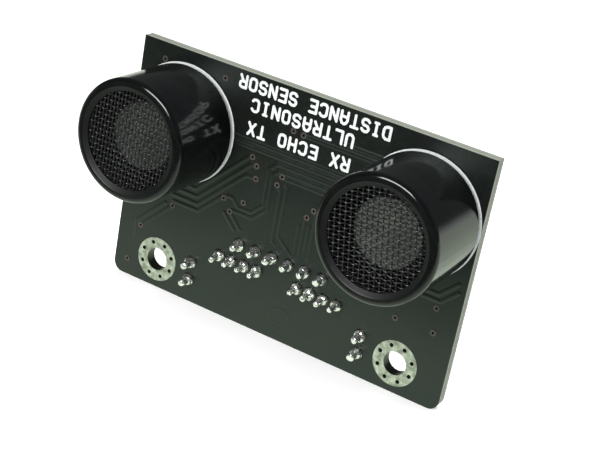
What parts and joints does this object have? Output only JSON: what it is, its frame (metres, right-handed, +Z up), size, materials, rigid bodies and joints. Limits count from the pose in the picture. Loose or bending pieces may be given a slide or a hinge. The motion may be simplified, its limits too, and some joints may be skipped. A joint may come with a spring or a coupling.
{
  "type": "ultrasonic distance sensor",
  "caption": "Ultrasonic distance sensor: a small circuit board with round, mesh-fronted transducers on its face, and connectors and chips on its rear.",
  "frame": {"origin": "midway between the mounting holes, on the board's rear face, where a standoff seats", "axes": "+X along the board's long side, +Y out of the rear face, +Z up from the holes to the transducers, which face -Y"},
  "size_m": [0.0514, 0.0221, 0.034],
  "materials": {
    "aluminium_can": "drawn bare aluminium",
    "black_header": "glass-filled black moulding",
    "black_housing": "glossy black moulded can",
    "black_mask": "satin black solder mask",
    "black_mesh": "black-lacquered woven wire",
    "black_resin": "matt black moulded resin",
    "capacitor_ceramic": "tan fired ceramic",
    "ceramic": "fired ceramic with a silver coat",
    "chip_resin": "fine-grained black moulding resin",
    "gold_pins": "thin gold plating",
    "laminate": "woven glass and epoxy laminate, sawn edge",
    "nickel_plate": "thin nickel-plated metal",
    "resistor_glaze": "black glaze",
    "silicone": "soft grey silicone",
    "solder": "soft-soldered, slightly frosted",
    "spun_aluminium": "thin spun aluminium",
    "steel_can": "drawn nickel-plated can",
    "tin": "bright hot-air-levelled tin",
    "tinned_pins": "tin-plated metal",
    "via_rings": "copper rings under black solder mask",
    "white_ink": "screen-printed white ink",
    "white_nylon": "natural nylon moulding"
  },
  "bodies": {
    "root": {"amplifier_body": "chip_resin", "amplifier_leads": "tinned_pins", "board_laminate": "laminate", "bus_left_pins": "tinned_pins", "bus_left_shell": "white_nylon", "bus_right_pins": "tinned_pins", "bus_right_shell": "white_nylon", "bus_solder": "solder", "bus_transceiver_body": "chip_resin", "bus_transceiver_leads": "tinned_pins", "capacitor_bases": "black_resin", "capacitor_cans": "aluminium_can", "chip_capacitor_bodies": "capacitor_ceramic", "chip_capacitor_ends": "solder", "chip_resistor_bodies": "resistor_glaze", "chip_resistor_ends": "solder", "crystal_base": "black_resin", "crystal_can": "steel_can", "driver_body": "chip_resin", "driver_leads": "tinned_pins", "front_tracks": "black_mask", "header_solder": "solder", "ink_rings": "white_ink", "link_header_bodies": "black_header", "link_header_pins": "gold_pins", "link_solder": "solder", "microcontroller_body": "chip_resin", "microcontroller_leads": "tinned_pins", "mounting_pads": "tin", "program_header_body": "black_header", "program_header_pins": "gold_pins", "receiver_base_plate": "black_resin", "receiver_ceramic_disc": "ceramic", "receiver_cone": "spun_aluminium", "receiver_damper_ring": "silicone", "receiver_housing": "black_housing", "receiver_lead_wires": "tinned_pins", "receiver_mesh": "black_mesh", "receiver_mesh_retainer": "black_resin", "receiver_metal_plate": "nickel_plate", "receiver_terminal_pins": "tinned_pins", "regulator_body": "chip_resin", "regulator_leads": "tinned_pins", "solder_mask_front": "black_mask", "solder_mask_rear": "black_mask", "temperature_sensor_body": "chip_resin", "temperature_sensor_leads": "tinned_pins", "transducer_solder": "solder", "transmitter_base_plate": "black_resin", "transmitter_ceramic_disc": "ceramic", "transmitter_cone": "spun_aluminium", "transmitter_damper_ring": "silicone", "transmitter_housing": "black_housing", "transmitter_lead_wires": "tinned_pins", "transmitter_mesh": "black_mesh", "transmitter_mesh_retainer": "black_resin", "transmitter_metal_plate": "nickel_plate", "transmitter_terminal_pins": "tinned_pins", "vias": "via_rings"}
  },
  "joints": []
}
